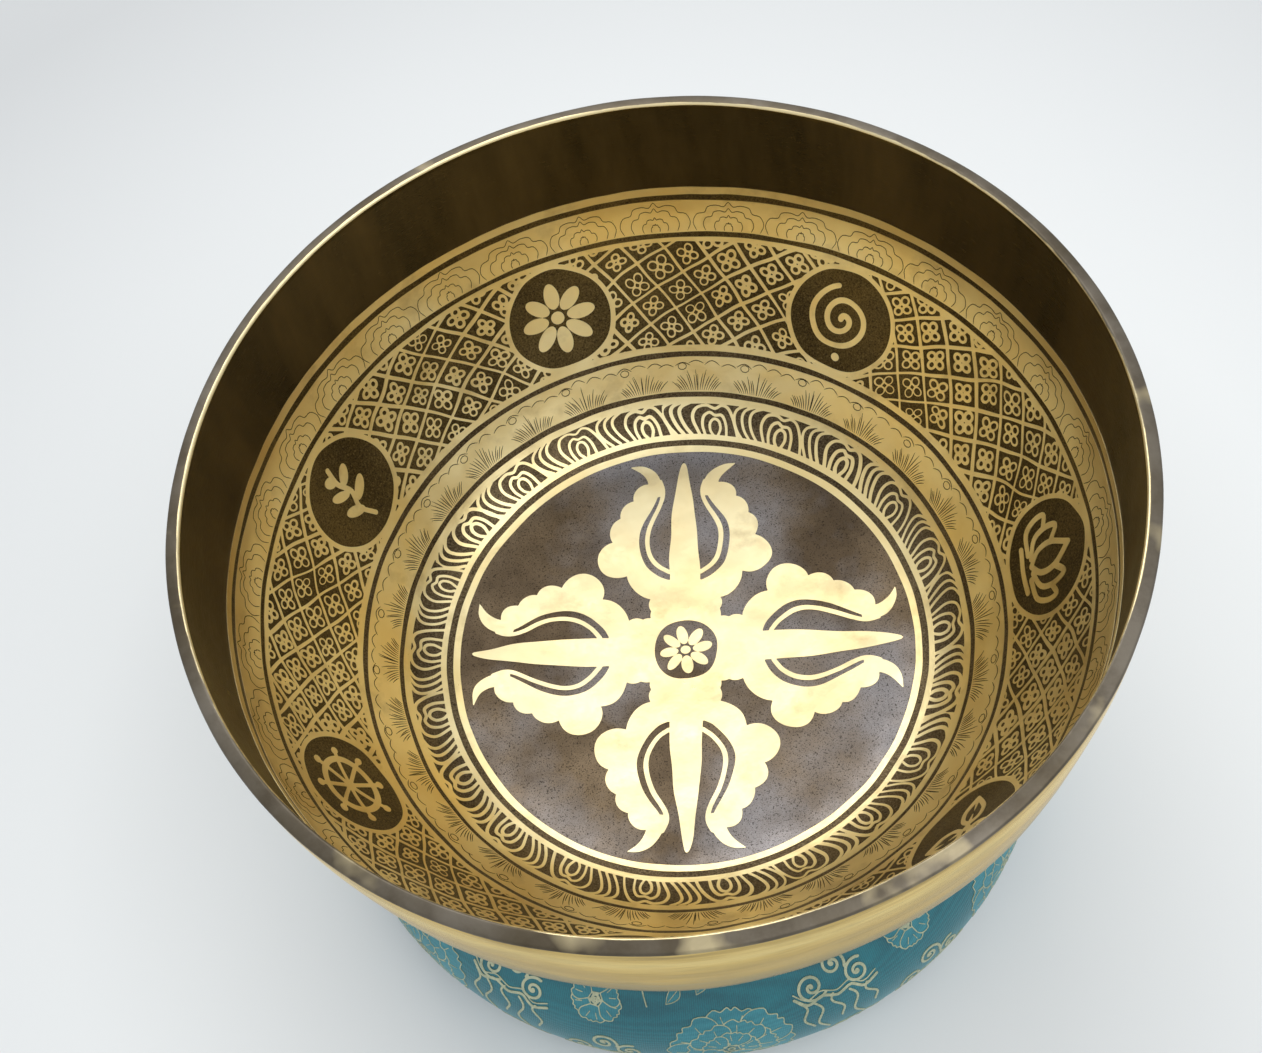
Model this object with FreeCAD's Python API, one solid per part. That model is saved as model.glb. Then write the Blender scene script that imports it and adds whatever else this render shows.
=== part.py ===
import FreeCAD, Part

import math
import os

from FreeCAD import Vector

# A hammered singing bowl resting on a stuffed ring cushion.
# Millimetres, +Z up. The origin is the centre of the cushion's base, on the bowl's own axis.

# Bowl: the inside is a chain of tangent arcs from the middle of the floor up to the lip.
# Each arc has a radius and the slope it ends at, in degrees from the horizontal.
INSIDE_ARCS = [
    (980.0, 4.5),  # floor
    (40.5, 49.0),  # knee
    (220.0, 67.0),  # flank
    (44.0, 84.5),  # shoulder
    (335.0, 92.0),  # upper wall, leaning in at the lip
]
SHOULDER_ARC_COUNT = 4  # arcs from the floor to the shoulder, along which the wall is even
WALL_THICKNESS = 3.0
LIP_OUTER_RADIUS = 150.0
LIP_DROP = 0.5  # the lip's face falls outward by this much
LIP_EDGE_RADIUS = 0.8

# Cushion: a stuffed tube in a ring, flat where it stands and dented where the bowl beds in.
SEAT_HEIGHT = 52.0  # bottom of the bowl above the surface that the cushion stands on
TUBE_CENTRE_RADIUS = 97.0
TUBE_CENTRE_HEIGHT = 31.0
TUBE_HALF_WIDTH = 40.0
TUBE_HALF_HEIGHT = 36.0
BOWL_CLEARANCE = 0.4
COVER_THICKNESS = 0.9
FILLING_GAP = 0.15

# Thread: round stitches, each a short rod with domed ends, partly sunk in the cover.
THREAD_RADIUS = 0.45
STITCH_RISE = 0.2  # height of a stitch's axis above the cover
RING_SEAM_ANGLE = 205.0  # place of the closing seam on the tube, degrees from its outermost line
RING_STITCH_COUNT = 80
RING_STITCH_LENGTH = 4.6
RING_STITCH_SLANT = 35.0  # degrees from straight across the seam
END_SEAM_AZIMUTH = 90.0
END_STITCH_LENGTH = 3.0
END_STITCH_STEP = 6.0  # degrees round the tube from one stitch to the next
END_SEAM_SPANS = [(-54.0, 72.0), (148.0, 196.0), (214.0, 232.0)]  # the bowl, ring seam and base lie between

FULL_TURN = 360.0
AXIS = Vector(0, 0, 1)


def plane_point(radius, height):
    """A point of the XZ half plane in which the sections are drawn."""
    return Vector(radius, 0, height)


def along_arc(start, radius, slope_from, slope_to):
    """The point that an arc reaches when its slope grows from one value to the other."""
    first = math.radians(slope_from)
    last = math.radians(slope_to)
    return plane_point(
        start.x + radius * (math.sin(last) - math.sin(first)),
        start.z + radius * (math.cos(first) - math.cos(last)),
    )


def arc_edge(first, middle, last):
    return Part.Arc(first, middle, last).toShape()


def line_edge(first, last):
    return Part.LineSegment(first, last).toShape()


def arc_chain(start, arcs, offset):
    """Edges of the tangent arcs, each moved outward by the offset, and the point that they end at."""
    edges = []
    slope = 0.0
    for radius, end_slope in arcs:
        middle = along_arc(start, radius + offset, slope, (slope + end_slope) / 2)
        end = along_arc(start, radius + offset, slope, end_slope)
        edges.append(arc_edge(start, middle, end))
        start = end
        slope = end_slope
    return edges, start


def tangent_arc(start, slope, end):
    """The arc that leaves start at the slope given and reaches end."""
    chord_slope = math.degrees(math.atan2(end.z - start.z, end.x - start.x))
    end_slope = 2 * chord_slope - slope
    chord = end.distanceToPoint(start)
    radius = chord / (2 * math.sin(math.radians(end_slope - slope) / 2))
    return arc_edge(start, along_arc(start, radius, slope, chord_slope), end)


def rounded_corner(first, corner, last):
    """A quarter arc from first to last, tangent to the two sides that meet at the corner."""
    centre = first + last - corner
    outward = corner - centre
    outward.normalize()
    return arc_edge(first, centre + outward * centre.distanceToPoint(first), last)


def revolve(face):
    return face.revolve(Vector(0, 0, 0), AXIS, FULL_TURN)


def floor_point():
    return plane_point(0, SEAT_HEIGHT + WALL_THICKNESS)


def underside_edges(gap):
    """The bowl's outside from the middle of its bottom to the shoulder, moved outward by a gap."""
    offset = WALL_THICKNESS + gap
    start = floor_point() - Vector(0, 0, offset)
    return arc_chain(start, INSIDE_ARCS[:SHOULDER_ARC_COUNT], offset)


def make_bowl():
    inside, lip_inner = arc_chain(floor_point(), INSIDE_ARCS, 0.0)
    outside, shoulder = underside_edges(0.0)
    edge = LIP_EDGE_RADIUS
    rim_height = lip_inner.z + edge
    inner_corner = plane_point(lip_inner.x, rim_height)
    face_inner = plane_point(lip_inner.x + edge, rim_height)
    face_outer = plane_point(LIP_OUTER_RADIUS - edge, rim_height - LIP_DROP)
    outer_corner = plane_point(LIP_OUTER_RADIUS, rim_height - LIP_DROP)
    lip_outer = plane_point(LIP_OUTER_RADIUS, rim_height - LIP_DROP - edge)
    lip = [
        rounded_corner(lip_inner, inner_corner, face_inner),
        line_edge(face_inner, face_outer),
        rounded_corner(face_outer, outer_corner, lip_outer),
    ]
    upper_outside = tangent_arc(shoulder, INSIDE_ARCS[SHOULDER_ARC_COUNT - 1][1], lip_outer)
    bottom_line = line_edge(plane_point(0, SEAT_HEIGHT), floor_point())
    wire = Part.Wire(Part.__sortEdges__([bottom_line] + inside + lip + [upper_outside] + outside))
    print("rim height", rim_height, "lip inner radius", lip_inner.x)
    return revolve(Part.Face(wire))


def bowl_envelope_face(gap):
    """Everything above the bowl's underside, out to the shoulder, with a gap below it."""
    edges, shoulder = underside_edges(gap)
    bottom = plane_point(0, SEAT_HEIGHT - gap)
    corner = plane_point(0, shoulder.z)
    edges = edges + [line_edge(shoulder, corner), line_edge(corner, bottom)]
    return Part.Face(Part.Wire(Part.__sortEdges__(edges)))


def tube_face(inset):
    """The cushion's section, every side moved inward by the inset."""
    half_width = TUBE_HALF_WIDTH - inset
    half_height = TUBE_HALF_HEIGHT - inset
    centre = plane_point(TUBE_CENTRE_RADIUS, TUBE_CENTRE_HEIGHT)
    ellipse = Part.Ellipse(
        centre + Vector(half_width, 0, 0), centre + Vector(0, 0, half_height), centre
    )
    section = Part.Face(Part.Wire(ellipse.toShape()))
    top = TUBE_CENTRE_HEIGHT + TUBE_HALF_HEIGHT + 1.0
    far = TUBE_CENTRE_RADIUS + TUBE_HALF_WIDTH + 1.0
    corners = [plane_point(0, inset), plane_point(far, inset), plane_point(far, top), plane_point(0, top)]
    above_base = Part.Face(Part.makePolygon(corners + corners[:1]))
    return section.common(above_base).cut(bowl_envelope_face(BOWL_CLEARANCE + inset))


def make_cushion_cover():
    return revolve(tube_face(0.0).cut(tube_face(COVER_THICKNESS)))


def make_cushion_filling():
    return revolve(tube_face(COVER_THICKNESS + FILLING_GAP))


def stitch(centre, direction, length):
    """A rod with domed ends."""
    half = direction * (length / 2 - THREAD_RADIUS)
    rod = Part.makeCylinder(THREAD_RADIUS, 2 * half.Length, centre - half, direction)
    first_end = Part.makeSphere(THREAD_RADIUS, centre - half)
    last_end = Part.makeSphere(THREAD_RADIUS, centre + half)
    return rod.fuse([first_end, last_end]).removeSplitter()


def tube_frame(tube_angle, azimuth):
    """On the cover: a point, the outward normal, the way round the tube and the way round the ring."""
    turn = math.radians(tube_angle)
    normal = plane_point(math.cos(turn) / TUBE_HALF_WIDTH, math.sin(turn) / TUBE_HALF_HEIGHT)
    normal.normalize()
    point = plane_point(
        TUBE_CENTRE_RADIUS + TUBE_HALF_WIDTH * math.cos(turn),
        TUBE_CENTRE_HEIGHT + TUBE_HALF_HEIGHT * math.sin(turn),
    )
    spin = FreeCAD.Rotation(AXIS, azimuth)
    round_tube = plane_point(-normal.z, normal.x)
    return [spin.multVec(vector) for vector in (point, normal, round_tube, Vector(0, 1, 0))]


def make_ring_seam_thread():
    stitches = []
    slant = math.radians(RING_STITCH_SLANT)
    for index in range(RING_STITCH_COUNT):
        azimuth = FULL_TURN * index / RING_STITCH_COUNT
        point, normal, round_tube, round_ring = tube_frame(RING_SEAM_ANGLE, azimuth)
        direction = round_tube * math.cos(slant) + round_ring * math.sin(slant)
        stitches.append(stitch(point + normal * STITCH_RISE, direction, RING_STITCH_LENGTH))
    return Part.makeCompound(stitches)


def make_end_seam_thread():
    stitches = []
    for first, last in END_SEAM_SPANS:
        steps = int((last - first) / END_STITCH_STEP)
        for index in range(steps + 1):
            tube_angle = first + index * END_STITCH_STEP
            point, normal, round_tube, round_ring = tube_frame(tube_angle, END_SEAM_AZIMUTH)
            stitches.append(stitch(point + normal * STITCH_RISE, round_ring, END_STITCH_LENGTH))
    return Part.makeCompound(stitches)


PARTS = {
    "bowl": make_bowl,
    "cushion_cover": make_cushion_cover,
    "cushion_filling": make_cushion_filling,
    "ring_seam_thread": make_ring_seam_thread,
    "end_seam_thread": make_end_seam_thread,
}


def main():
    os.makedirs("parts", exist_ok=True)
    for name, make in PARTS.items():
        shape = make()
        shape.exportStep("parts/" + name + ".step")
        box = shape.BoundBox
        print(name, "solids", len(shape.Solids), "valid", shape.isValid(), "volume", round(shape.Volume),
              "z", round(box.ZMin, 2), round(box.ZMax, 2), "x", round(box.XMin, 2), round(box.XMax, 2))


main()
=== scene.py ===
import math

import bpy
import numpy as np
from mathutils import Matrix, Vector
from mathutils.geometry import delaunay_2d_cdt


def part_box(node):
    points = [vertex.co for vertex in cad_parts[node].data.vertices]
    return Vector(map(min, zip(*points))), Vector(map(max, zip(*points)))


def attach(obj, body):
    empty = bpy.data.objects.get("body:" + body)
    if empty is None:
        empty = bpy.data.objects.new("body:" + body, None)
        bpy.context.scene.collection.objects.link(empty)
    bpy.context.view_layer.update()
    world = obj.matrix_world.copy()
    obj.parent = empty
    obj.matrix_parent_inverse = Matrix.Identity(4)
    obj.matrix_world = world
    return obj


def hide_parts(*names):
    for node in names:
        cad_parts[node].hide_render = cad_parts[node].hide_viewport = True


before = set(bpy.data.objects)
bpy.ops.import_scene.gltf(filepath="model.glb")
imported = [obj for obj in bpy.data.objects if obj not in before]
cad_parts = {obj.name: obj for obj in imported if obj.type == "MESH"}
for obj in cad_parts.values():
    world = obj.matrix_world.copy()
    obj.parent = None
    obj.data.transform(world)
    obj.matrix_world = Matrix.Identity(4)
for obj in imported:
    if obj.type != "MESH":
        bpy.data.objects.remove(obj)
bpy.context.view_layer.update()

# A hammered singing bowl with an etched inside, on a stuffed brocade ring cushion.
# Shapes are worked out in millimetres, in the frame's own axes, and written to meshes in metres.

MM = 0.001
TURN = 2 * math.pi

BOWL_LOW, BOWL_HIGH = [np.array(corner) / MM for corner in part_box("bowl")]
RIM_HEIGHT = BOWL_HIGH[2]
LIP_OUTER_RADIUS = BOWL_HIGH[0]

# The bowl's inside: tangent arcs from the middle of the floor to the lip (radius, end slope in degrees).
WALL = 3.0
FLOOR_HEIGHT = BOWL_LOW[2] + WALL
INSIDE_ARCS = [(980.0, 4.5), (40.5, 49.0), (220.0, 67.0), (44.0, 84.5), (335.0, 92.0)]
SHOULDER_ARC_COUNT = 4

# Etching: the ground lies this far below the pattern, whose slabs are rooted deeper still.
ETCH_DEPTH = 0.16
SLAB_ROOT = -0.34


# ---------------------------------------------------------------- shapes of the bowl

def arc_table(offset):
    """For each arc: where it starts along the profile, its radius, start slope and start point."""
    rows = []
    run, slope, radial, height = 0.0, 0.0, 0.0, FLOOR_HEIGHT - offset
    for radius, end_slope in INSIDE_ARCS:
        radius += offset
        end = math.radians(end_slope)
        rows.append((run, radius, slope, radial, height))
        run += radius * (end - slope)
        radial += radius * (math.sin(end) - math.sin(slope))
        height += radius * (math.cos(slope) - math.cos(end))
        slope = end
    rows.append((run, radius, slope, radial, height))
    return np.array(rows)


INSIDE = arc_table(0.0)
OUTSIDE = arc_table(WALL)
RIM_RUN = INSIDE[-1, 0]
SHOULDER_RUN = OUTSIDE[SHOULDER_ARC_COUNT, 0]  # the outside follows the wall as far as this


def profile_at(table, run):
    """Radial distance, height and slope of the profile at distances along it from the floor's middle."""
    run = np.asarray(run, float)
    index = np.clip(np.searchsorted(table[:-1, 0], run, side="right") - 1, 0, len(table) - 2)
    start, radius, slope0, radial0, height0 = np.moveaxis(table[index], -1, 0)
    slope = slope0 + (run - start) / radius
    radial = radial0 + radius * (np.sin(slope) - np.sin(slope0))
    height = height0 + radius * (np.cos(slope0) - np.cos(slope))
    return radial, height, slope


def unit(vectors):
    return vectors / np.maximum(np.linalg.norm(vectors, axis=-1, keepdims=True), 1e-9)


def polar(distance, azimuth):
    return np.stack([distance * np.cos(azimuth), distance * np.sin(azimuth)], -1)


def waves(seed, count, shortest, longest):
    """A smooth random field of unit strength over points of space or of the plane, made of waves."""
    random = np.random.default_rng(seed)
    directions = unit(random.normal(size=(count, 3)))
    numbers = directions * (TURN / random.uniform(shortest, longest, count))[:, None]
    phases = random.uniform(0, TURN, count)

    def field(points):
        total = np.zeros(points.shape[:-1])
        for number, phase in zip(numbers[:, :points.shape[-1]], phases):
            total += np.sin(points @ number + phase)
        return total * math.sqrt(2 / count)

    return field


hammer_marks = waves(11, 22, 15, 34)
broad_dents = waves(12, 14, 55, 130)
rim_sway = waves(13, 6, 150, 420)


def beaten(points):
    """Moves points of the bowl along the radius and the height, as beating left them uneven."""
    share = np.clip((points[..., 2] - FLOOR_HEIGHT) / (RIM_HEIGHT - FLOOR_HEIGHT), 0, 1)
    fade = 1 - 0.6 * share
    push = 0.07 * hammer_marks(points) * fade + 0.16 * broad_dents(points) + 0.35 * rim_sway(points) * share
    radial = np.linalg.norm(points[..., :2], axis=-1)
    outward = unit(points * (1.0, 1.0, 0.0))
    lean = np.clip((radial - 60) / 50, 0, 1)[..., None]
    moved = points + outward * lean * push[..., None]
    moved[..., 2] += (1 - lean[..., 0]) * push * 0.8
    return moved


def inside_point(x, y, lift):
    """A point of the bowl's inside. x and y unroll it flat, their length being the run from the middle."""
    run = np.hypot(x, y)
    radial, height, slope = profile_at(INSIDE, run)
    radial = radial - lift * np.sin(slope)
    height = height + lift * np.cos(slope)
    safe = np.maximum(run, 1e-9)
    points = np.stack([radial * x / safe, radial * y / safe, height], -1)
    return beaten(points)


# ---------------------------------------------------------------- meshes

def new_mesh(name, points, faces):
    """A mesh from points in millimetres."""
    mesh = bpy.data.meshes.new(name)
    mesh.from_pydata((np.asarray(points) * MM).tolist(), [], faces)
    return mesh


def square_mesh(name, half, height):
    corners = [(-half, -half, height), (half, -half, height), (half, half, height), (-half, half, height)]
    return new_mesh(name, corners, [(0, 1, 2, 3)])


def new_object(name, data):
    added = bpy.data.objects.new(name, data)
    bpy.context.scene.collection.objects.link(added)
    return added


def add_piece(name, points, faces, materials, body, indices=None, sharp=40):
    """A mesh piece, smooth except over sharp edges, riding on a body."""
    mesh = new_mesh(name, points, faces)
    for material in materials:
        mesh.materials.append(material)
    if indices is not None:
        mesh.polygons.foreach_set("material_index", indices)
    mesh.shade_smooth()
    mesh.set_sharp_from_angle(angle=math.radians(sharp))
    mesh.update()
    piece = new_object(name, mesh)
    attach(piece, body)
    return piece


def tube_faces(number):
    """Faces between rows of point numbers. Each row is a closed ring."""
    after = np.roll(number, -1, axis=1)
    return np.stack([number[:-1], after[:-1], after[1:], number[1:]], -1).reshape(-1, 4).tolist()


def grid_faces(rows, columns):
    """Faces of a grid of points that closes on itself both ways."""
    number = np.arange(rows * columns).reshape(rows, columns)
    return tube_faces(np.concatenate([number, number[:1]]))


def revolved(profile, steps):
    """Points and faces of a closed surface of revolution, whose profile starts and ends on the axis."""
    level = polar(profile[1:-1, :1], np.arange(steps) * TURN / steps).reshape(-1, 2)
    height = np.repeat(profile[1:-1, 1], steps)
    poles = [[0, 0, profile[0, 1]], [0, 0, profile[-1, 1]]]
    first, last = len(height), len(height) + 1
    number = np.arange(len(height)).reshape(-1, steps)
    faces = tube_faces(number)
    faces += [[first, (a + 1) % steps, a] for a in range(steps)]
    faces += [[last, a, b] for a, b in zip(number[-1].tolist(), np.roll(number[-1], -1).tolist())]
    return np.concatenate([np.column_stack([level, height]), poles]), faces


# ---------------------------------------------------------------- patterns as regions of the plane

# A pattern is a grid of signed distances, below 0 where metal stands. Its outline is traced, the
# region is triangulated, and the triangles become a thin slab laid on a surface.

TRACE_TOLERANCE = 0.018  # how far from a line a dropped point may lie
FILL_STEP = 2.6  # extra points inside a region, this far apart and from its outline, follow the surface
FILL_MARGIN = 0.75

CELL_CASES = {  # corners inside, counted 1, 2, 4, 8 from the lower left: (from side, to side)
    1: [("b", "l")], 2: [("r", "b")], 4: [("t", "r")], 8: [("l", "t")],
    3: [("r", "l")], 6: [("t", "b")], 12: [("l", "r")], 9: [("b", "t")],
    14: [("l", "b")], 13: [("b", "r")], 11: [("r", "t")], 7: [("t", "l")],
}
SADDLES = {  # case: (sides when the middle is inside, sides when it is outside)
    5: ([("b", "r"), ("t", "l")], [("b", "l"), ("t", "r")]),
    10: ([("l", "b"), ("r", "t")], [("r", "b"), ("l", "t")]),
}


def outlines(values, wrap):
    """Loops (column, row) round the region below 0, in grid steps. With wrap, the columns join up."""
    rows, columns = values.shape
    right = np.roll(values, -1, axis=1)
    up = np.roll(values, -1, axis=0)
    with np.errstate(divide="ignore", invalid="ignore"):
        across = values / (values - right)
        along = values / (values - up)
    corner = (values < 0).astype(int)
    code = corner + 2 * np.roll(corner, -1, 1)
    code += 4 * np.roll(np.roll(corner, -1, 1), -1, 0) + 8 * np.roll(corner, -1, 0)
    code[-1] = 0
    if not wrap:
        code[:, -1] = 0
    size = rows * columns
    number = np.arange(size).reshape(rows, columns)
    side = {
        "b": number,
        "t": np.roll(number, -1, axis=0),
        "l": number + size,
        "r": np.roll(number, -1, axis=1) + size,
    }
    follows = {}

    def link(mask, pairs):
        for start, end in pairs:
            follows.update(zip(side[start][mask].tolist(), side[end][mask].tolist()))

    for case, pairs in CELL_CASES.items():
        link(code == case, pairs)
    middle = (values + right + up + np.roll(right, -1, axis=0)) < 0
    for case, (joined, parted) in SADDLES.items():
        link((code == case) & middle, joined)
        link((code == case) & ~middle, parted)

    loops = []
    while follows:
        start = here = next(iter(follows))
        loop = []
        while here in follows:
            loop.append(here)
            here = follows.pop(here)
        if here == start and len(loop) > 3:
            upright, cell = np.divmod(loop, size)
            row, column = np.divmod(cell, columns)
            x = column + np.where(upright, 0, across[row, column])
            y = row + np.where(upright, along[row, column], 0)
            loops.append(np.stack([x, y], -1))
    return loops


def simplified(loop, tolerance):
    """The loop without the points that lie almost in line with their neighbours."""
    for first in (0, 1, 0, 1):
        if len(loop) < 8:
            break
        before, after = np.roll(loop, 1, axis=0), np.roll(loop, -1, axis=0)
        chord = after - before
        length = np.maximum(np.hypot(*chord.T), 1e-9)
        offset = np.abs(np.cross(chord, loop - before)) / length
        drop = (offset < tolerance) & (length < 4.0)
        drop[(np.arange(len(loop)) % 2) != first] = False
        loop = loop[~drop]
    return loop


def between(grid, column, row):
    """Numbers or points between the nodes of a grid that closes on itself both ways."""
    rows, columns = grid.shape[:2]
    c, r = np.floor(column).astype(int), np.floor(row).astype(int)
    fc, fr = column - c, row - r
    if grid.ndim == 3:
        fc, fr = fc[..., None], fr[..., None]
    lower, upper = (grid[level % rows, c % columns] * (1 - fc) + grid[level % rows, (c + 1) % columns] * fc
                    for level in (r, r + 1))
    return lower * (1 - fr) + upper * fr


def sampled(values, column, row):
    """Values between the nodes of a grid of which only the columns join end to end."""
    return between(values, column, np.clip(row, 0, len(values) - 1.001))


def square_grid(reach, step):
    """Places of the nodes of a square grid round the origin."""
    line = np.arange(-reach, reach, step)
    return np.meshgrid(line, line)


def traced(values, reach, step, tolerance):
    """Outlines of the region below 0 on a square grid, points that fill it, and a sampling function."""
    loops = [simplified(place * step - reach, tolerance) for place in outlines(values, False)]
    every = round(FILL_STEP / step)
    deep = values[::every, ::every] < -FILL_MARGIN
    fill = np.stack([line[::every, ::every][deep] for line in square_grid(reach, step)], -1)

    def sample(points):
        return sampled(values, *((points + reach) / step).T)

    return loops, fill, sample


def edges_of(triangles, count):
    """The edges of triangles, and for each a number that doesn't depend on its direction."""
    edges = np.concatenate([triangles[:, [0, 1]], triangles[:, [1, 2]], triangles[:, [2, 0]]])
    return edges, edges.min(1).astype(np.int64) * count + edges.max(1)


def patches(triangles, edge_keys, count):
    """A number for each triangle, the same for those not parted by the edges given."""
    keys = edges_of(triangles, count)[1]
    owner = np.tile(np.arange(len(triangles)), 3)
    order = np.argsort(keys, kind="stable")
    keys, owner = keys[order], owner[order]
    same = np.nonzero((keys[1:] == keys[:-1]) & ~np.isin(keys[1:], edge_keys))[0]
    root = list(range(len(triangles)))

    def find(i):
        while root[i] != i:
            root[i] = root[root[i]]
            i = root[i]
        return i

    for first, second in zip(owner[same].tolist(), owner[same + 1].tolist()):
        root[find(first)] = find(second)
    return np.array([find(i) for i in range(len(root))])


def triangulated(loops, fill, sample):
    """Points and triangles of the region inside the loops, with extra points to follow the surface.

    sample gives the signed distance at plane points, which tells inside from outside.
    """
    points, edges = [], []
    for loop in loops:
        start = len(points)
        count = len(loop)
        points.extend(loop.tolist())
        edges.extend((start + i, start + (i + 1) % count) for i in range(count))
    points.extend(fill.tolist())
    vertices, cut, triangles, _, sources, _ = delaunay_2d_cdt(
        [Vector(p) for p in points], edges, [], 0, 1e-5)
    vertices = np.array([tuple(v) for v in vertices])
    triangles = np.array([f for f in triangles if len(f) == 3])
    cut = np.sort(np.array([edge for edge, source in zip(cut, sources) if source]), axis=1)
    count = len(vertices)
    patch = patches(triangles, cut[:, 0].astype(np.int64) * count + cut[:, 1], count)
    corners = vertices[triangles]
    area = np.abs(np.cross(corners[:, 1] - corners[:, 0], corners[:, 2] - corners[:, 0]))
    total = np.bincount(patch, area * sample(corners.mean(1)), len(triangles))
    return vertices, triangles[total[patch] < 0]


def slab_faces(triangles, count):
    """Faces of a closed slab: the triangles on top, the same below, and walls along their border."""
    below = triangles[:, ::-1] + count
    edges, keys = edges_of(triangles, count)
    _, index, uses = np.unique(keys, return_index=True, return_counts=True)
    border = edges[index[uses == 1]]
    walls = np.stack([border[:, 1], border[:, 0], border[:, 0] + count, border[:, 1] + count], -1)
    return triangles.tolist() + below.tolist() + walls.tolist()


def add_slab(name, plane, triangles, surface, lifts, material, body):
    """A closed slab over triangles of the plane, between two lifts over a surface."""
    used, compact = np.unique(triangles, return_inverse=True)
    compact = compact.reshape(triangles.shape)
    x, y = plane[used].T
    points = np.concatenate([surface(x, y, lifts[0]), surface(x, y, lifts[1])])
    faces = slab_faces(compact, len(used))
    return add_piece(name, points, faces, [material], body)


# ---------------------------------------------------------------- drawing with signed distances

def segment_distance(x, y, points):
    """Distance from each place to a line through the points."""
    best = np.full(np.broadcast(x, y).shape, 1e9)
    for (ax, ay), (bx, by) in zip(points[:-1], points[1:]):
        dx, dy = bx - ax, by - ay
        share = np.clip(((x - ax) * dx + (y - ay) * dy) / max(dx * dx + dy * dy, 1e-12), 0, 1)
        best = np.minimum(best, np.hypot(x - ax - share * dx, y - ay - share * dy))
    return best


def strokes_distance(x, y, strokes, width):
    """Signed distance to lines of one width."""
    return np.minimum.reduce([segment_distance(x, y, line) for line in strokes]) - width / 2


def area_distance(x, y, points):
    """Signed distance to a closed outline, below 0 inside it."""
    closed = list(points) + [points[0]]
    inside = np.zeros(np.broadcast(x, y).shape, bool)
    for (ax, ay), (bx, by) in zip(closed[:-1], closed[1:]):
        if ay != by:
            crosses = (ay > y) != (by > y)
            inside ^= crosses & (x < ax + (y - ay) * (bx - ax) / (by - ay))
    distance = segment_distance(x, y, closed)
    return np.where(inside, -distance, distance)


def spline(points, steps=6):
    """A smooth line through the points."""
    points = np.array(points, float)
    ends = np.concatenate([[2 * points[0] - points[1]], points, [2 * points[-1] - points[-2]]])
    share = np.arange(steps)[:, None] / steps
    line = []
    for p0, p1, p2, p3 in zip(ends[:-3], ends[1:-2], ends[2:-1], ends[3:]):
        bend = 2 * p0 - 5 * p1 + 4 * p2 - p3
        rise = 3 * p1 - p0 - 3 * p2 + p3
        line.append(0.5 * (2 * p1 + (p2 - p0) * share + bend * share**2 + rise * share**3))
    return np.concatenate(line + [points[-1:]])


def mirrored(points):
    """The points followed by their mirror image across the y axis, in one line."""
    return points + [(-x, y) for x, y in reversed(points) if abs(x) > 1e-6]


def swung(x, y, angle):
    """Places measured along and across an axis that is turned by an angle."""
    return x * np.cos(angle) + y * np.sin(angle), y * np.cos(angle) - x * np.sin(angle)


def folded(x, y, count, turn=0.0):
    """Places turned into one of count equal sectors: how far out along its middle, and across it."""
    step = TURN / count
    local = (np.arctan2(y, x) - turn + step / 2) % step - step / 2
    distance = np.hypot(x, y)
    return distance * np.cos(local), distance * np.sin(local)


# ---------------------------------------------------------------- materials

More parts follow.
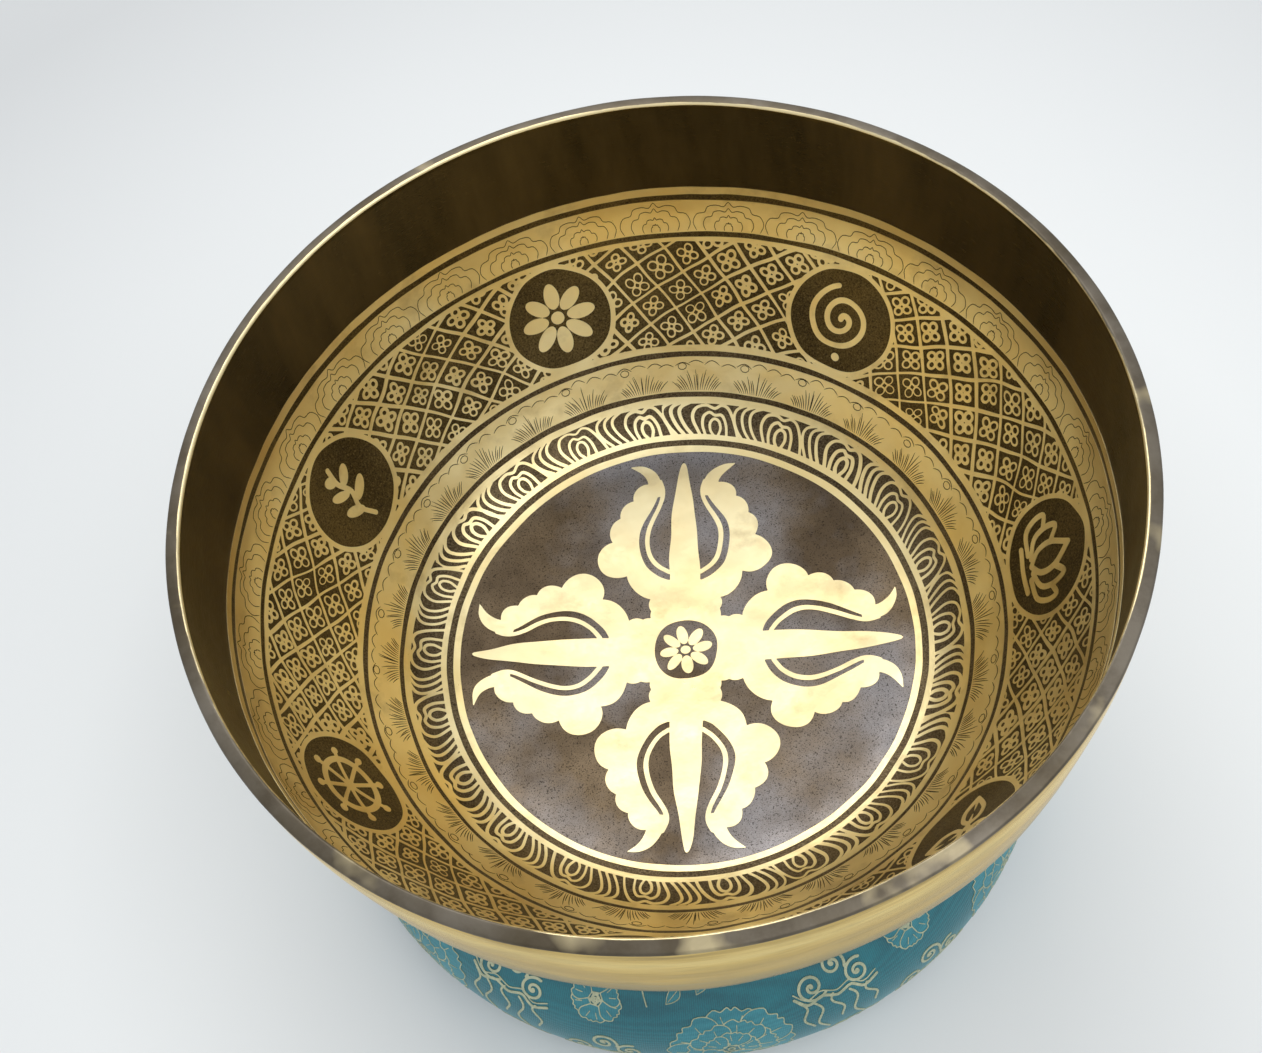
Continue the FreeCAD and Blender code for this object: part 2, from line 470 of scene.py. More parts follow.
class Nodes:
    """A short way to build a material's node tree."""

    def __init__(self, name):
        self.material = bpy.data.materials.new(name)
        self.material.use_nodes = True
        self.tree = self.material.node_tree
        self.shader = self.tree.nodes["Principled BSDF"]
        self.place = self.add("ShaderNodeTexCoord").outputs["Object"]

    def add(self, kind, **settings):
        node = self.tree.nodes.new(kind)
        for key, value in settings.items():
            setattr(node, key, value)
        return node

    def put(self, value, socket):
        if isinstance(value, bpy.types.NodeSocket):
            self.tree.links.new(value, socket)
        else:
            socket.default_value = value

    def axis(self, name):
        node = self.add("ShaderNodeSeparateXYZ")
        self.put(self.place, node.inputs[0])
        return node.outputs[name]

    def radius(self):
        """Distance from the object's upright axis."""
        squares = [self.math("MULTIPLY", self.axis(name), self.axis(name)) for name in "XY"]
        return self.math("SQRT", self.math("ADD", *squares))

    def stretched(self, scale):
        node = self.add("ShaderNodeMapping")
        self.put(self.place, node.inputs["Vector"])
        node.inputs["Scale"].default_value = scale
        return node.outputs["Vector"]

    def noise(self, scale, detail=4.0, roughness=0.55, place=None, distortion=0.0):
        node = self.add("ShaderNodeTexNoise")
        self.put(place or self.place, node.inputs["Vector"])
        for key, value in (("Scale", scale), ("Detail", detail), ("Roughness", roughness)):
            node.inputs[key].default_value = value
        node.inputs["Distortion"].default_value = distortion
        return node.outputs["Fac"]

    def ramp(self, value, stops):
        """Colours or grey levels along a value. stops are (place, colour or level)."""
        node = self.add("ShaderNodeValToRGB")
        self.put(value, node.inputs["Fac"])
        elements = node.color_ramp.elements
        while len(elements) < len(stops):
            elements.new(0.5)
        for element, (place, colour) in zip(elements, stops):
            element.position = place
            element.color = (colour,) * 3 + (1,) if isinstance(colour, (int, float)) else (*colour, 1)
        return node.outputs["Color"]

    def mix(self, share, first, second, kind="MIX"):
        node = self.add("ShaderNodeMix", data_type="RGBA", blend_type=kind)
        self.put(share, node.inputs["Factor"])
        for value, socket in ((first, node.inputs["A"]), (second, node.inputs["B"])):
            self.put(value if isinstance(value, bpy.types.NodeSocket) else (*value, 1), socket)
        return node.outputs["Result"]

    def math(self, kind, first, second=0.0):
        node = self.add("ShaderNodeMath", operation=kind)
        self.put(first, node.inputs[0])
        self.put(second, node.inputs[1])
        return node.outputs[0]

    def tint(self, colour, value, low, high, other, most=1.0):
        """Lets another colour in, as far as its share most, while a value climbs from low to high."""
        return self.mix(self.ramp(value, [(low, 0.0), (high, most)]), colour, other)

    def weighed(self, first, first_weight, second, second_weight=1.0):
        """The sum of two values, each times its weight."""
        terms = ((first, first_weight), (second, second_weight))
        return self.math("ADD", *[self.math("MULTIPLY", value, weight) for value, weight in terms])

    def bump(self, height, strength, distance, normal=None):
        node = self.add("ShaderNodeBump")
        node.inputs["Strength"].default_value = strength
        node.inputs["Distance"].default_value = distance
        self.put(height, node.inputs["Height"])
        if normal:
            self.put(normal, node.inputs["Normal"])
        return node.outputs["Normal"]

    def set(self, **values):
        """Values or links for the shader's sockets, named with underscores for spaces."""
        for key, value in values.items():
            if isinstance(value, tuple) and len(value) == 3:
                value = (*value, 1)
            self.put(value, self.shader.inputs[key.replace("_", " ")])
        return self.material


def gold_metal(name, bright, dull):
    """Polished bell metal that stands proud of the etching, with faint stains, dents and scratches."""
    n = Nodes(name)
    cloud = n.noise(26, 4)
    colour = n.tint(dull, cloud, 0.35, 0.65, bright)
    colour = n.tint(colour, n.noise(60, 5, 0.6), 0.56, 0.74, (0.30, 0.20, 0.075), 0.35)
    scratches = n.noise(420, 3, 0.6, n.stretched((1, 1, 6)))
    rough = n.ramp(n.weighed(scratches, 0.5, cloud, 0.5), [(0.3, 0.27), (0.7, 0.46)])
    normal = n.bump(scratches, 0.12, 0.0004)
    normal = n.bump(n.noise(34, 2), 0.26, 0.0040, normal)
    return n.set(Base_Color=colour, Metallic=1.0, Roughness=rough, Normal=normal)


def patina(name, dark, light, speck, rough_low, rough_high, painted_sheen=None):
    """Etched and darkened metal: cloudy brown with fine pits and, where asked, pale grey patches of painted
    sheen.
    """
    n = Nodes(name)
    cloud = n.noise(22, 5, 0.6, n.stretched((1, 1, 0.6)))
    colour = n.tint(dark, cloud, 0.38, 0.62, light)
    # Pale grey patches of painted sheen, where asked.
    if painted_sheen:
        colour = n.tint(colour, n.noise(13, 5, 0.55), 0.42, 0.62, painted_sheen)
    grain = n.noise(1500, 2, 0.7)
    colour = n.tint(colour, grain, 0.52, 0.70, speck, 0.6)
    colour = n.mix(n.ramp(grain, [(0.34, 0.85), (0.47, 0.0)]), colour, (0.020, 0.014, 0.009))
    rough = n.ramp(n.noise(90, 4), [(0.3, rough_low), (0.7, rough_high)])
    normal = n.bump(grain, 0.35, 0.00012)
    return n.set(Base_Color=colour, Metallic=0.85, Roughness=rough, Normal=normal)


def upper_wall_metal():
    """Bare brown wall above the etching, with cloudy streaks that run up and down."""
    n = Nodes("upper_wall_metal")
    streak = n.noise(34, 5, 0.6, n.stretched((1, 1, 0.22)))
    cloud = n.noise(13, 4, 0.6)
    colour = n.tint((0.040, 0.027, 0.008), streak, 0.36, 0.68, (0.105, 0.072, 0.026))
    colour = n.tint(colour, cloud, 0.45, 0.75, (0.030, 0.020, 0.006), 0.5)
    brushed = n.noise(300, 3, 0.6, n.stretched((1, 1, 7)))
    rough = n.ramp(n.weighed(brushed, 0.5, streak, 0.5), [(0.35, 0.24), (0.65, 0.42)])
    return n.set(Base_Color=colour, Metallic=0.9, Roughness=rough, Normal=n.bump(brushed, 0.14, 0.0003))


def rim_metal():
    """The flat of the rim: grey-brown patina, worn bright in places in front, and bright along its inner
    edge, which is partly worn metal and partly a painted highlight.
    """
    n = Nodes("rim_metal")
    fine = n.noise(110, 5, 0.62)
    # The gold line along the inner edge is partly worn metal and partly a painted highlight of the rounded
    # edge.
    radial = n.math("SUBTRACT", n.radius(), (LIP_OUTER_RADIUS - 3.95) * MM)
    edge = n.weighed(radial, -900.0, fine, 0.7)
    wear = n.weighed(n.axis("Y"), -0.50, n.noise(42, 3, 0.5))
    wear_and_edge_highlight = n.math("MAXIMUM", n.ramp(edge, [(0.30, 0.0), (0.55, 1.0)]),
                    n.ramp(wear, [(0.60, 0.0), (0.74, 0.45)]))
    cloud = n.noise(30, 5, 0.6)
    colour = n.tint((0.098, 0.078, 0.050), cloud, 0.35, 0.65, (0.180, 0.156, 0.122))
    colour = n.tint(colour, fine, 0.45, 0.75, (0.055, 0.040, 0.024), 0.5)
    colour = n.mix(wear_and_edge_highlight, colour, (0.84, 0.70, 0.40))
    rough = n.mix(wear_and_edge_highlight, (0.46,) * 3, (0.30,) * 3)
    return n.set(Base_Color=colour, Metallic=0.9, Roughness=rough,
                 Normal=n.bump(n.noise(900, 3, 0.6), 0.25, 0.0002))


def outer_metal_painted_reflection():
    """The outside: polished gold with painted reflection streaks round it, bright painted highlights and
    dark painted shade lines towards the lip, a grey band where it curves in, duller below.
    """
    n = Nodes("outer_metal_painted_reflection")
    brushed = n.noise(26, 5, 0.55, n.stretched((1, 1, 12)))
    cloud = n.noise(20, 5, 0.6, n.stretched((1, 1, 2.6)))
    place = n.weighed(n.math("SUBTRACT", brushed, 0.5), 0.018, n.axis("Z"))
    # Towards the lip this ramp by height paints reflection: bright bands of painted highlight with dark
    # lines of painted shade between them. Lower down it turns to a grey band and duller brown.
    colour = n.ramp(place, [
        (0.104, (0.30, 0.225, 0.12)), (0.130, (0.34, 0.28, 0.18)), (0.141, (0.34, 0.31, 0.27)),
        (0.149, (0.50, 0.38, 0.18)), (0.157, (0.80, 0.58, 0.21)), (0.163, (0.56, 0.39, 0.13)),
        (0.169, (0.88, 0.66, 0.25)), (0.177, (1.0, 0.85, 0.46)), (0.182, (0.90, 0.68, 0.27)),
        (0.187, (0.40, 0.30, 0.16)),
    ])
    colour = n.tint(colour, cloud, 0.50, 0.72, (0.36, 0.27, 0.13), 0.55)
    lathe = n.noise(46, 5, 0.65, n.stretched((1, 1, 30)))
    colour = n.tint(colour, lathe, 0.46, 0.70, (0.34, 0.25, 0.11), 0.45)
    lower = n.ramp(place, [(0.124, 1.0), (0.148, 0.0)])
    rough = n.ramp(n.weighed(brushed, 0.6, lower, 0.3), [(0.2, 0.16), (0.7, 0.34)])
    normal = n.bump(lathe, 0.14, 0.0003)
    normal = n.bump(n.noise(60, 2), 0.10, 0.0035, normal)
    return n.set(Base_Color=colour, Metallic=1.0, Roughness=rough, Normal=normal,
                 Specular_Tint=(0.96, 0.84, 0.58))


GOLD = gold_metal("etched_gold", (0.98, 0.84, 0.48), (0.86, 0.67, 0.31))
# A paler copy of the gold for the floor: the paleness is painted reflection of the bright light above.
FLOOR_GOLD_PAINTED_REFLECTION = gold_metal("floor_gold_painted_reflection", (0.98, 0.86, 0.53), (0.89, 0.72, 0.38))
HAIRLINE = patina("engraved_line", (0.030, 0.019, 0.005), (0.055, 0.036, 0.012),
                  (0.07, 0.05, 0.02), 0.6, 0.7)
SHELL_ZONES = [  # name, where it ends along the inside, material
    # The floor's ground gets pale grey patches of painted sheen.
    ("floor", 86.0, patina("floor_ground", (0.095, 0.066, 0.038), (0.200, 0.145, 0.088),
                           (0.060, 0.045, 0.034), 0.32, 0.48, (0.250, 0.235, 0.235))),
    ("rings", 126.5, patina("ring_ground", (0.070, 0.047, 0.020), (0.130, 0.092, 0.046),
                            (0.24, 0.19, 0.12), 0.36, 0.5)),
    ("wall", 192.5, patina("wall_ground", (0.062, 0.041, 0.012), (0.125, 0.086, 0.030),
                           (0.22, 0.16, 0.07), 0.34, 0.48)),
    ("upper", 1e3, upper_wall_metal()),
    ("rim", None, rim_metal()),
    ("outside", None, outer_metal_painted_reflection()),
]


# ---------------------------------------------------------------- the bowl's body

PATTERN_TOP = 194.4  # distance along the profile where the etching ends
GROUND_BLEND = 1.6  # the length over which the sunken ground rises to the bare wall
RING_STEPS = 320
PROFILE_STEP = 2.0


def bowl_profile():
    """The closed profile from the inside of the floor, over the lip, to the underside's middle.

    With it comes the number of the zone that each of its points begins.
    """
    inside_runs = np.linspace(0, RIM_RUN, int(RIM_RUN / PROFILE_STEP))
    radial, height, slope = profile_at(INSIDE, inside_runs)
    sunk = ETCH_DEPTH * np.clip((PATTERN_TOP + GROUND_BLEND - inside_runs) / GROUND_BLEND, 0, 1)
    inside = np.stack([radial + sunk * np.sin(slope), height - sunk * np.cos(slope)], -1)
    inside[0, 0] = 0
    lip_inner = inside[-1, 0]
    lip = spline([
        (lip_inner, RIM_HEIGHT - 0.8),
        (lip_inner + 0.35, RIM_HEIGHT - 0.2),
        (lip_inner + 1.0, RIM_HEIGHT),
        (LIP_OUTER_RADIUS - 1.0, RIM_HEIGHT - 0.4),
        (LIP_OUTER_RADIUS - 0.25, RIM_HEIGHT - 0.8),
        (LIP_OUTER_RADIUS, RIM_HEIGHT - 1.5),
    ], 3)
    shoulder = OUTSIDE[SHOULDER_ARC_COUNT]
    start = np.array(shoulder[3:5])
    end = np.array([LIP_OUTER_RADIUS, RIM_HEIGHT - 1.5])
    pull = 0.4 * np.linalg.norm(end - start)
    leave = start + pull * np.array([math.cos(shoulder[2]), math.sin(shoulder[2])])
    arrive = end - np.array([0.0, pull])
    share = np.linspace(1, 0, 20)[1:, None]
    upper = ((1 - share) ** 3 * start + 3 * (1 - share) ** 2 * share * leave
             + 3 * (1 - share) * share**2 * arrive + share**3 * end)
    runs = np.linspace(SHOULDER_RUN, 0, int(SHOULDER_RUN / PROFILE_STEP))
    radial, height, _ = profile_at(OUTSIDE, runs[1:])
    outside = np.stack([radial, height], -1)
    outside[-1, 0] = 0
    ends = [end for _, end, _ in SHELL_ZONES if end]
    zones = np.searchsorted(ends, inside_runs[:-1]).tolist()
    zones += [len(ends)] * (len(lip) - 1)
    zones += [len(ends) + 1] * (len(upper) + len(outside) + 1)
    return np.concatenate([inside, lip[1:], upper, outside]), np.array(zones)


def make_bowl():
    """The whole body as one shell, with a material for each of its zones."""
    profile, zones = bowl_profile()
    points, faces = revolved(profile, RING_STEPS)
    indices = np.concatenate([np.repeat(zones[1:len(profile) - 2], RING_STEPS),
                              np.repeat(zones[[0, -1]], RING_STEPS)])
    materials = [material for _, _, material in SHELL_ZONES]
    shell = add_piece("bowl_shell", beaten(points), faces, materials, "bowl", indices)
    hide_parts("bowl")


make_bowl()


# ---------------------------------------------------------------- ornament: rings of the inside

class Ring:
    """A ring of the inside, unrolled, as a grid of signed distances that shapes are drawn into."""

    def __init__(self, inner, outer, step, seed):
        self.step = step
        self.start = inner - 3 * step
        self.runs = np.arange(self.start, outer + 3 * step, step)[:, None]
        self.count = int(TURN * profile_at(INSIDE, (inner + outer) / 2)[0] / step)
        self.azimuths = (np.arange(self.count) * TURN / self.count)[None]
        self.values = np.full((len(self.runs), self.count), 1e3)
        plane = polar(self.runs, self.azimuths)
        self.sway = [waves(seed + k, 16, 13, 70)(plane) for k in range(3)]

    def window(self, centre, half_width, radius=None, sway=0.25):
        """Columns round an azimuth, and each node's distance from it and along the profile.

        Given a radius, widths are measured there, so that a motif fans out with the bowl.
        """
        reach = radius or profile_at(INSIDE, self.runs.mean())[0]
        middle = centre / TURN * self.count
        half = half_width / reach / TURN * self.count
        columns = np.arange(math.ceil(middle - half), math.floor(middle + half) + 1)
        turn = columns[None] * TURN / self.count - centre
        columns %= self.count
        local = radius or profile_at(INSIDE, self.runs)[0]
        x = turn * local + sway * self.sway[0][:, columns]
        y = self.runs + sway * self.sway[1][:, columns]
        return columns, x, y

    def band(self, inner, outer, sway=0.09):
        """A plain ring of metal."""
        middle, half = (inner + outer) / 2, (outer - inner) / 2
        place = self.runs + sway * self.sway[1] - middle
        self.values = np.minimum(self.values, np.abs(place) - half - 0.06 * self.sway[2])

    def merge(self, columns, drawn):
        self.values[:, columns] = np.minimum(self.values[:, columns], drawn)

    def add(self, name, material, parts=1):
        """Makes the drawn metal into one or more slabs on the inside of the bowl."""
        loops = []
        for place in outlines(self.values, True):
            loop = polar(self.start + place[:, 1] * self.step, place[:, 0] * TURN / self.count)
            loops.append(simplified(loop, TRACE_TOLERANCE))
        every = round(FILL_STEP / self.step)
        deep = (self.values[::every, ::every] < -FILL_MARGIN).T
        fill = polar(self.runs[::every].T, self.azimuths[:, ::every].T)[deep]
        add_pattern(name, loops, fill, self.sample, material, parts)

    def sample(self, points):
        azimuth = np.arctan2(points[:, 1], points[:, 0]) % TURN
        run = np.hypot(*points.T)
        return sampled(self.values, azimuth / TURN * self.count, (run - self.start) / self.step)


def add_pattern(name, loops, fill, sample, material, parts=1):
    """The region inside the loops as slabs on the bowl's inside, one for each of some equal sectors."""
    plane, triangles = triangulated(loops, fill, sample)
    centres = plane[triangles].mean(1)
    share = np.arctan2(centres[:, 1], centres[:, 0]) / TURN % 1
    for part in range(parts):
        chosen = triangles[(share * parts).astype(int) == part]
        label = f"{name}_{part + 1}" if parts > 1 else name
        add_slab(label, plane, chosen, inside_point, (0.0, SLAB_ROOT), material, "bowl")


# The ring of curled petals round the floor.
PETAL_BASE, PETAL_TOP = 91.7, 104.0
PETAL_COUNT = 22
PETAL_FIRST = math.radians(7)
PETAL_STROKE = 1.2
PETAL_RADIUS = 97.0


def petal_strokes():
    """One motif: a drop, two scalloped arches round it, and the slanted lines up to the next motif."""
    drop = [(-1.3, 0), (-2.1, 3.0), (-1.2, 5.8), (0.8, 6.5), (2.2, 4.6), (1.9, 1.8), (0.6, 0)]
    heart = [(-4.9, 0), (-4.2, 4.6), (-2.2, 8.0), (0.5, 7.9), (2.5, 8.9), (4.6, 7.2), (5.0, 3.6), (3.9, 0)]
    arch = [(-9.6, 0), (-8.2, 3.8), (-6.3, 7.8), (-4.2, 10.8), (-1.8, 11.7), (0.7, 10.4),
            (3.6, 11.6), (6.9, 10.8), (8.5, 8.2), (8.4, 5.0), (6.0, 0)]
    strokes = [spline(line, 4) for line in (drop, heart, arch)]
    for start in (9.1, 12.1, 15.2):
        line = [(0, 0), (2.2, 2.6), (3.8, 5.6), (4.4, 8.4), (3.7, 10.6), (2.0, 11.9), (0.6, 12.6)]
        strokes.append(spline([(start + x, y) for x, y in line], 3))
    return strokes


def make_petal_ring():
    ring = Ring(84.4, 106.9, 0.27, 100)
    for inner, outer in ((84.6, 87.2), (89.6, PETAL_BASE + 0.1), (PETAL_TOP - 0.1, 106.7)):
        ring.band(inner, outer)
    strokes = petal_strokes()
    random = np.random.default_rng(5)
    for index in range(PETAL_COUNT):
        centre = PETAL_FIRST + index * TURN / PETAL_COUNT
        columns, x, y = ring.window(centre, 21, PETAL_RADIUS)
        stretch = random.uniform(0.93, 1.07)
        drawn = strokes_distance(x * stretch, y - PETAL_BASE, strokes, PETAL_STROKE)
        within = np.abs(y - (PETAL_BASE + PETAL_TOP) / 2) - (PETAL_TOP - PETAL_BASE) / 2 - 0.3
        ring.merge(columns, np.maximum(drawn - 0.09 * ring.sway[2][:, columns], within))
    ring.add("petal_ring", GOLD, 4)


# The lattice of small flowers, with seven round medallions.
LATTICE_INNER, LATTICE_OUTER = 125.3, 172.2
LATTICE_MIDDLE = 148.9
MEDALLION_AZIMUTHS = [math.radians(a) for a in (-7, 50.6, 100.7, 149.6, 203, 255, 306)]
MEDALLION_RADIUS = 21.1
MEDALLION_RIM = 1.9
LATTICE_LINE = 1.25
LATTICE_CELLS = [(-34, 52, 11.0), (-31, 55, 11.5), (-28, 50, 10.8), (-33, 44, 10.4),
                 (-36, 47, 10.8), (-30, 53, 11.2), (-38, 46, 10.9)]  # two slopes and the spacing
FLOWER_STROKE = 0.84


def flower_distance(x, y, size):
    """Four small rings round a fifth, folded so that one ring stands for all four."""
    along, across = np.maximum(np.abs(x), np.abs(y)), np.minimum(np.abs(x), np.abs(y))
    petal = np.abs(np.hypot((along - 2.45 * size) / 1.12, across) - 1.42 * size)
    centre = np.abs(np.hypot(x, y) - 1.0 * size)
    return np.minimum(petal, centre) - FLOWER_STROKE / 2


def lattice_distance(x, y, slope_a, slope_b, spacing, random):
    """Crossing lines with a flower in each cell."""
    a, b = math.radians(slope_a), math.radians(slope_b)
    rows = np.array([[-math.sin(a), math.cos(a)], [-math.sin(b), math.cos(b)]]) / spacing
    first = rows[0, 0] * x + rows[0, 1] * y
    second = rows[1, 0] * x + rows[1, 1] * y
    lines = np.minimum(np.abs(first - np.round(first)), np.abs(second - np.round(second))) * spacing
    cell_a, cell_b = np.floor(first), np.floor(second)
    back = np.linalg.inv(rows)
    fa, fb = first - cell_a - 0.5, second - cell_b - 0.5
    table = random.normal(size=(4, 997))
    chosen = ((cell_a * 73 + cell_b * 179) % 997).astype(int)
    shift_x, shift_y, twist, size = table[:, chosen]
    fx = back[0, 0] * fa + back[0, 1] * fb + 0.28 * shift_x
    fy = back[1, 0] * fa + back[1, 1] * fb + 0.28 * shift_y
    corner = back @ np.array([1.0, -1.0])
    angle = math.atan2(corner[1], corner[0]) + 0.16 * twist
    flower = flower_distance(*swung(fx, fy, angle), 1 + 0.06 * size)
    return np.minimum(lines - LATTICE_LINE / 2, flower)


def lotus(x, y):
    """Petals, drawn where x is positive and mirrored, over a curved base."""
    lines = [[(0, -9), (4.0, -4), (4.2, 3), (0, 11)],
             [(2.6, -8.5), (8.5, -5), (10.2, 1), (8.6, 7), (4.6, 3.2)],
             [(4.5, -9.8), (12, -8), (15, -2.5), (14.6, 2.2), (10.6, 0.6)]]
    petals = strokes_distance(np.abs(x), y, [spline(line, 5) for line in lines], 2.1)
    base = segment_distance(x, y, spline([(-8, -12.2), (0, -13.6), (8, -12.2)], 5)) - 1.05
    return np.minimum(petals, base)


def wheel(x, y):
    distance = np.hypot(x, y)
    along, across = folded(x, y, 8)
    spoke = np.maximum(np.abs(across) - 0.8, np.abs(distance - 7) - 6)
    rim = np.abs(distance - 10.8) - 1.2
    knob = np.hypot(along - 14.3, across) - 1.5
    return np.minimum.reduce([spoke, rim, distance - 2.4, knob])


def sprig(x, y):
    stem = segment_distance(x, y, spline([(-1, -14), (1.5, -7), (-1, 0), (1, 7), (0, 13)], 5)) - 0.95
    shapes = [stem]
    for height, side, reach in ((-9, 1, 9), (-5, -1, 9.5), (0, 1, 8.5), (4, -1, 7.5), (8, 1, 5.5)):
        along, across = swung(x * side, y - height, math.radians(35))
        shapes.append((np.hypot((along - reach * 0.55) / (reach * 0.52), across / 2.1) - 1) * 2.0)
    return np.minimum.reduce(shapes)


def spiral(x, y):
    turns = np.linspace(0.6, 4.4 * math.pi, 90)
    line = polar(0.95 * turns, turns)
    return np.minimum(segment_distance(x, y, line) - 1.1, np.hypot(x + 1, y + 15.2) - 1.6)


def rosette(x, y):
    along, across = folded(x, y, 8)
    petal = (np.hypot((along - 9.2) / 5.4, across / 2.9) - 1) * 2.9
    return np.minimum(petal, np.hypot(x, y) - 2.6)


def drops(x, y):
    along, across = folded(x, y, 3, math.radians(90))
    side = spline([(2.0, 0), (4.5, 3.4), (8.5, 4.2), (11.5, 2.6), (14.5, 0)], 4)
    drop = np.abs(area_distance(along, np.abs(across), [*side, (8, -1)])) - 0.95
    return np.minimum(drop, np.hypot(x, y) - 1.6)


def knot(x, y):
    turns = np.linspace(0, TURN, 120)
    line = np.stack([11.5 * np.sin(2 * turns + math.pi / 4), 12.5 * np.sin(3 * turns)], -1)
    return segment_distance(x, y, line) - 0.95


EMBLEMS = [lotus, spiral, rosette, sprig, wheel, knot, drops]


def make_lattice():
    ring = Ring(LATTICE_INNER - 0.2, LATTICE_OUTER + 0.2, 0.3, 200)
    random = np.random.default_rng(8)
    for index, cells in enumerate(LATTICE_CELLS):
        start = MEDALLION_AZIMUTHS[index]
        end = MEDALLION_AZIMUTHS[(index + 1) % 7] + (TURN if index == 6 else 0)
        columns, x, y = ring.window((start + end) / 2, (end - start) / 2 * 128, sway=0.45)
        drawn = lattice_distance(x, y - LATTICE_MIDDLE, *cells, random)
        ring.merge(columns, drawn - 0.10 * ring.sway[2][:, columns])
    clip = np.abs(ring.runs - LATTICE_MIDDLE) - (LATTICE_OUTER - LATTICE_INNER) / 2 + 1
    ring.values = np.maximum(ring.values, clip)
    for azimuth, emblem in zip(MEDALLION_AZIMUTHS, EMBLEMS):
        columns, x, y = ring.window(azimuth, 30, sway=0.3)
        y = y - LATTICE_MIDDLE
        distance = np.hypot(x, y * 1.02)
        frame_ring = np.abs(distance - MEDALLION_RADIUS) - MEDALLION_RIM / 2
        inside = np.minimum(frame_ring, emblem(x, y))
        outside = np.minimum(frame_ring, ring.values[:, columns])
        ring.values[:, columns] = np.where(distance < MEDALLION_RADIUS, inside, outside)
    ring.band(LATTICE_INNER, 127.9)
    ring.band(170.3, LATTICE_OUTER)
    ring.add("lattice", GOLD, 8)


def make_plain_bands():
    """The broad bands that carry fine engraving, and the thin line above them."""
    bands = (("grass_band", 108.8, 123.2, 300), ("cloud_band", 174.3, 188.1, 310),
             ("upper_line", 190.8, PATTERN_TOP, 320))
    for name, inner, outer, seed in bands:
        ring = Ring(inner, outer, 0.5, seed)
        ring.band(inner, outer, 0.12)
        ring.add(name, GOLD)


# ---------------------------------------------------------------- ornament: the floor's crossed thunderbolt

ARM_AZIMUTH = math.radians(-9.5)
HUB_RADIUS = 12.2
LOBES = [  # scalloped edge of one side of an arm: place across, place outward, radius
    (8.6, 14.2, 4.7), (9.0, 19.0, 4.6), (11.0, 32.6, 11.3), (25.4, 39.2, 8.1),
    (22.4, 50.6, 6.4), (18.7, 58.0, 6.0), (14.4, 65.0, 5.7),
]
ARM_CORE = [(0, 10), (9, 10), (10.5, 22), (20, 31), (24, 45), (20, 56), (15.5, 64), (10, 69), (0, 69)]
HOLLOW = [(6.6, 29.0), (10.4, 31.0), (14.8, 35.6), (17.2, 41.6), (17.5, 47.6), (15.9, 53.8),
          (12.6, 60.0), (9.9, 65.0), (8.8, 68.8)]  # outer edge of the dark crescent
HORN_EDGES = [[(12.0, 65.0), (13.4, 69.4), (14.4, 72.6), (16.8, 75.7), (21.0, 78.8)],
              [(21.0, 78.8), (16.6, 78.8), (12.7, 77.2), (9.9, 74.2), (8.4, 70.4), (7.9, 65.6)]]
SPIKE = [(5.9, 20), (5.9, 33), (5.5, 44), (4.7, 54), (3.9, 61), (2.9, 68), (1.9, 75), (0.9, 79), (0, 80)]
CRESCENT_LINE = [(6.2, 32.4), (10.2, 35.3), (13.2, 39.6), (14.4, 45.0), (13.8, 50.6), (11.8, 56.0),
                 (9.3, 61.0), (7.8, 65.0), (7.7, 68.2), (8.9, 71.4)]


def mirrored_area(u, v, side):
    """Distance to a shape that is symmetric about the v axis. side is its outline at positive u."""
    side = np.array(side, float)
    return area_distance(u, v, [*side, *(side[::-1] * (-1, 1))])


def floor_distance(x, y):
    distance = np.hypot(x, y)
    v, u = folded(x, y, 4, ARM_AZIMUTH)
    u = np.abs(u)
    lobes = [np.hypot(u - lu, v - lv) - radius for lu, lv, radius in LOBES]
    hollow_side = [(0, 29.0), *spline(HOLLOW, 4), (8.0, 70.2), (5.0, 76), (5.0, 90)]
    prong = np.maximum(np.minimum.reduce(lobes + [mirrored_area(u, v, ARM_CORE)]),
                       -mirrored_area(u, v, hollow_side))
    horn = area_distance(u, v, [place for edge in HORN_EDGES for place in spline(edge, 4)])
    spike = mirrored_area(u, v, spline(SPIKE, 3))
    line = segment_distance(u, v, spline(CRESCENT_LINE, 4)) - 0.85
    hub = np.abs(distance - HUB_RADIUS - 1.3) - 1.3
    drawn = np.minimum.reduce([prong, horn, spike, line, hub])
    drawn = np.maximum(drawn, HUB_RADIUS - distance)
    return np.minimum(drawn, rosette(x * 1.45, y * 1.45) / 1.45)


def make_floor_ornament():
    step, reach = 0.3, 84.0
    x, y = square_grid(reach, step)
    sway = [waves(400 + k, 14, 10, 45)(np.stack([x, y], -1)) for k in range(2)]
    values = floor_distance(x + 0.28 * sway[0], y + 0.28 * sway[1])
    # The floor's pattern takes the gold copy made paler by painted reflection.
    add_pattern("floor_ornament", *traced(values, reach, step, TRACE_TOLERANCE), FLOOR_GOLD_PAINTED_REFLECTION)


# ---------------------------------------------------------------- ornament: engraved hairlines

HAIR_HALF_WIDTH = 0.16
HAIR_LIFTS = (0.05, -0.08)


def ribbon(points):
    """Both edges of a thin line through plane points, tapered at its ends."""
    ahead = unit(np.gradient(points, axis=0))
    side = np.stack([-ahead[:, 1], ahead[:, 0]], -1) * HAIR_HALF_WIDTH
    side[[0, -1]] *= 0.35
    return points + side, points - side


